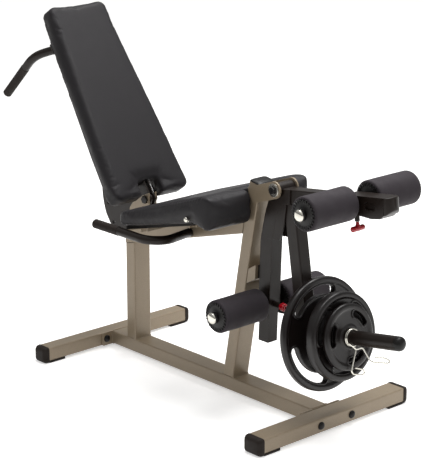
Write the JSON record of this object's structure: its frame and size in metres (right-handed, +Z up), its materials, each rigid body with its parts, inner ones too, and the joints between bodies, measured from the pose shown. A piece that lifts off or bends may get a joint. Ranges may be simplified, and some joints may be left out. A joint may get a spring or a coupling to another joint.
{
  "type": "seated leg extension and leg curl bench",
  "caption": "Plate loaded leg extension and leg curl bench: reclining back rest, wedge seat, swinging lever with foam rollers, loaded weight horn on a steel frame.",
  "frame": {"origin": "centre of the machine's footprint on the floor", "axes": "+Z up, +Y towards the back rest, +X to the left hand of a person seated facing the lever"},
  "size_m": [0.705, 1.9075, 1.2766],
  "materials": {
    "frame_paint": "satin champagne silver powder coat",
    "black_paint": "satin black powder coat",
    "bright_steel": "polished",
    "black_bolt": "black oxide",
    "upholstery": "matt black vinyl",
    "board": "black stained plywood",
    "foam": "closed cell foam skin",
    "black_plastic": "moulded",
    "rubber_black": "matt",
    "red_plastic": "gloss",
    "plate_iron": "rubber coated black"
  },
  "bodies": {
    "frame": {"front_foot": "frame_paint", "rear_foot": "frame_paint", "foot_caps": "rubber_black", "spine": "frame_paint", "flange_bolts": "black_bolt", "rear_upright": "frame_paint", "front_upright": "frame_paint", "upright_cap": "black_plastic", "seat_rail": "frame_paint", "rail_end_plug": "black_plastic", "fork_plates": "frame_paint", "pivot_shaft": "bright_steel", "pivot_bolts": "black_bolt", "stop_bracket": "frame_paint", "stop_rubber": "rubber_black", "seat_crossbars": "frame_paint", "seat_board": "board", "seat_pad": "upholstery", "seat_side_bolts": "bright_steel", "seat_handles": "black_paint", "seat_grips": "rubber_black", "hinge_ears": "frame_paint", "hinge_bolt": "black_bolt", "adjuster_quadrant": "black_paint"},
    "back": {"back_side_plates": "black_paint", "back_tube": "black_paint", "back_tube_plug": "black_plastic", "back_board": "board", "back_pad": "upholstery", "back_handles": "black_paint", "back_grips": "rubber_black"},
    "back_lock": {"back_lock_pin": "bright_steel", "back_lock_knob": "red_plastic"},
    "lever": {"lever_hub": "black_paint", "curl_arm": "black_paint", "shin_leg": "black_paint", "weight_leg": "black_paint", "lever_end_plugs": "black_plastic", "weight_horn": "black_paint", "horn_cap": "black_plastic"},
    "curl_carriage": {"curl_sleeve": "black_paint", "curl_axle_caps": "bright_steel"},
    "curl_lock": {"curl_pin": "bright_steel", "curl_pin_handle": "red_plastic"},
    "shin_carriage": {"shin_slider": "black_paint", "shin_axle_caps": "bright_steel"},
    "shin_lock": {"shin_pin": "bright_steel", "shin_pin_knob": "red_plastic"},
    "load": {"plate_large": "plate_iron", "plate_medium": "plate_iron", "plate_small": "plate_iron", "spring_collar": "bright_steel"},
    "curl_roller_left": {"curl_roller_foam_left": "foam", "curl_roller_hub_left": "black_plastic"},
    "curl_roller_right": {"curl_roller_foam_right": "foam", "curl_roller_hub_right": "black_plastic"},
    "shin_roller_left": {"shin_roller_foam_left": "foam", "shin_roller_hub_left": "black_plastic"},
    "shin_roller_right": {"shin_roller_foam_right": "foam", "shin_roller_hub_right": "black_plastic"}
  },
  "joints": [
    {"name": "back_recline", "type": "hinge", "parent": "frame", "child": "back", "pos_m": [0, 0.2935, 0.61], "axis": [-1, 0, 0], "range_deg": [0, 37]},
    {"name": "back_lock_pull", "type": "slide", "parent": "back", "child": "back_lock", "axis": [1, 0, 0], "range_m": [0, 0.012], "stiffness_N_per_m": 600, "springref_m": -0.015},
    {"name": "lever_swing", "type": "hinge", "parent": "frame", "child": "lever", "pos_m": [0, -0.4035, 0.789], "axis": [-1, 0, 0], "range_deg": [0, 100]},
    {"name": "curl_carriage_slide", "type": "slide", "parent": "lever", "child": "curl_carriage", "axis": [0, 0.992, -0.126], "range_m": [0, 0.12]},
    {"name": "curl_pin_pull", "type": "slide", "parent": "curl_carriage", "child": "curl_lock", "axis": [0, -0.126, -0.992], "range_m": [0, 0.012], "stiffness_N_per_m": 600, "springref_m": -0.015},
    {"name": "shin_carriage_slide", "type": "slide", "parent": "lever", "child": "shin_carriage", "axis": [0, 0.0384, -0.9993], "range_m": [0, 0.12]},
    {"name": "shin_pin_pull", "type": "slide", "parent": "lever", "child": "shin_lock", "axis": [0, -0.9993, -0.0384], "range_m": [0, 0.012], "stiffness_N_per_m": 600, "springref_m": -0.015},
    {"name": "plates_off_horn", "type": "slide", "parent": "lever", "child": "load", "axis": [0, -0.9871, 0.1599], "range_m": [0, 0.385]},
    {"name": "curl_roller_spin_left", "type": "hinge", "parent": "curl_carriage", "child": "curl_roller_left", "pos_m": [0, -0.7445, 0.816], "axis": [1, 0, 0], "continuous": true},
    {"name": "curl_roller_spin_right", "type": "hinge", "parent": "curl_carriage", "child": "curl_roller_right", "pos_m": [0, -0.7445, 0.816], "axis": [1, 0, 0], "continuous": true},
    {"name": "shin_roller_spin_left", "type": "hinge", "parent": "shin_carriage", "child": "shin_roller_left", "pos_m": [0, -0.34092, 0.373], "axis": [1, 0, 0], "continuous": true},
    {"name": "shin_roller_spin_right", "type": "hinge", "parent": "shin_carriage", "child": "shin_roller_right", "pos_m": [0, -0.34092, 0.373], "axis": [1, 0, 0], "continuous": true}
  ]
}
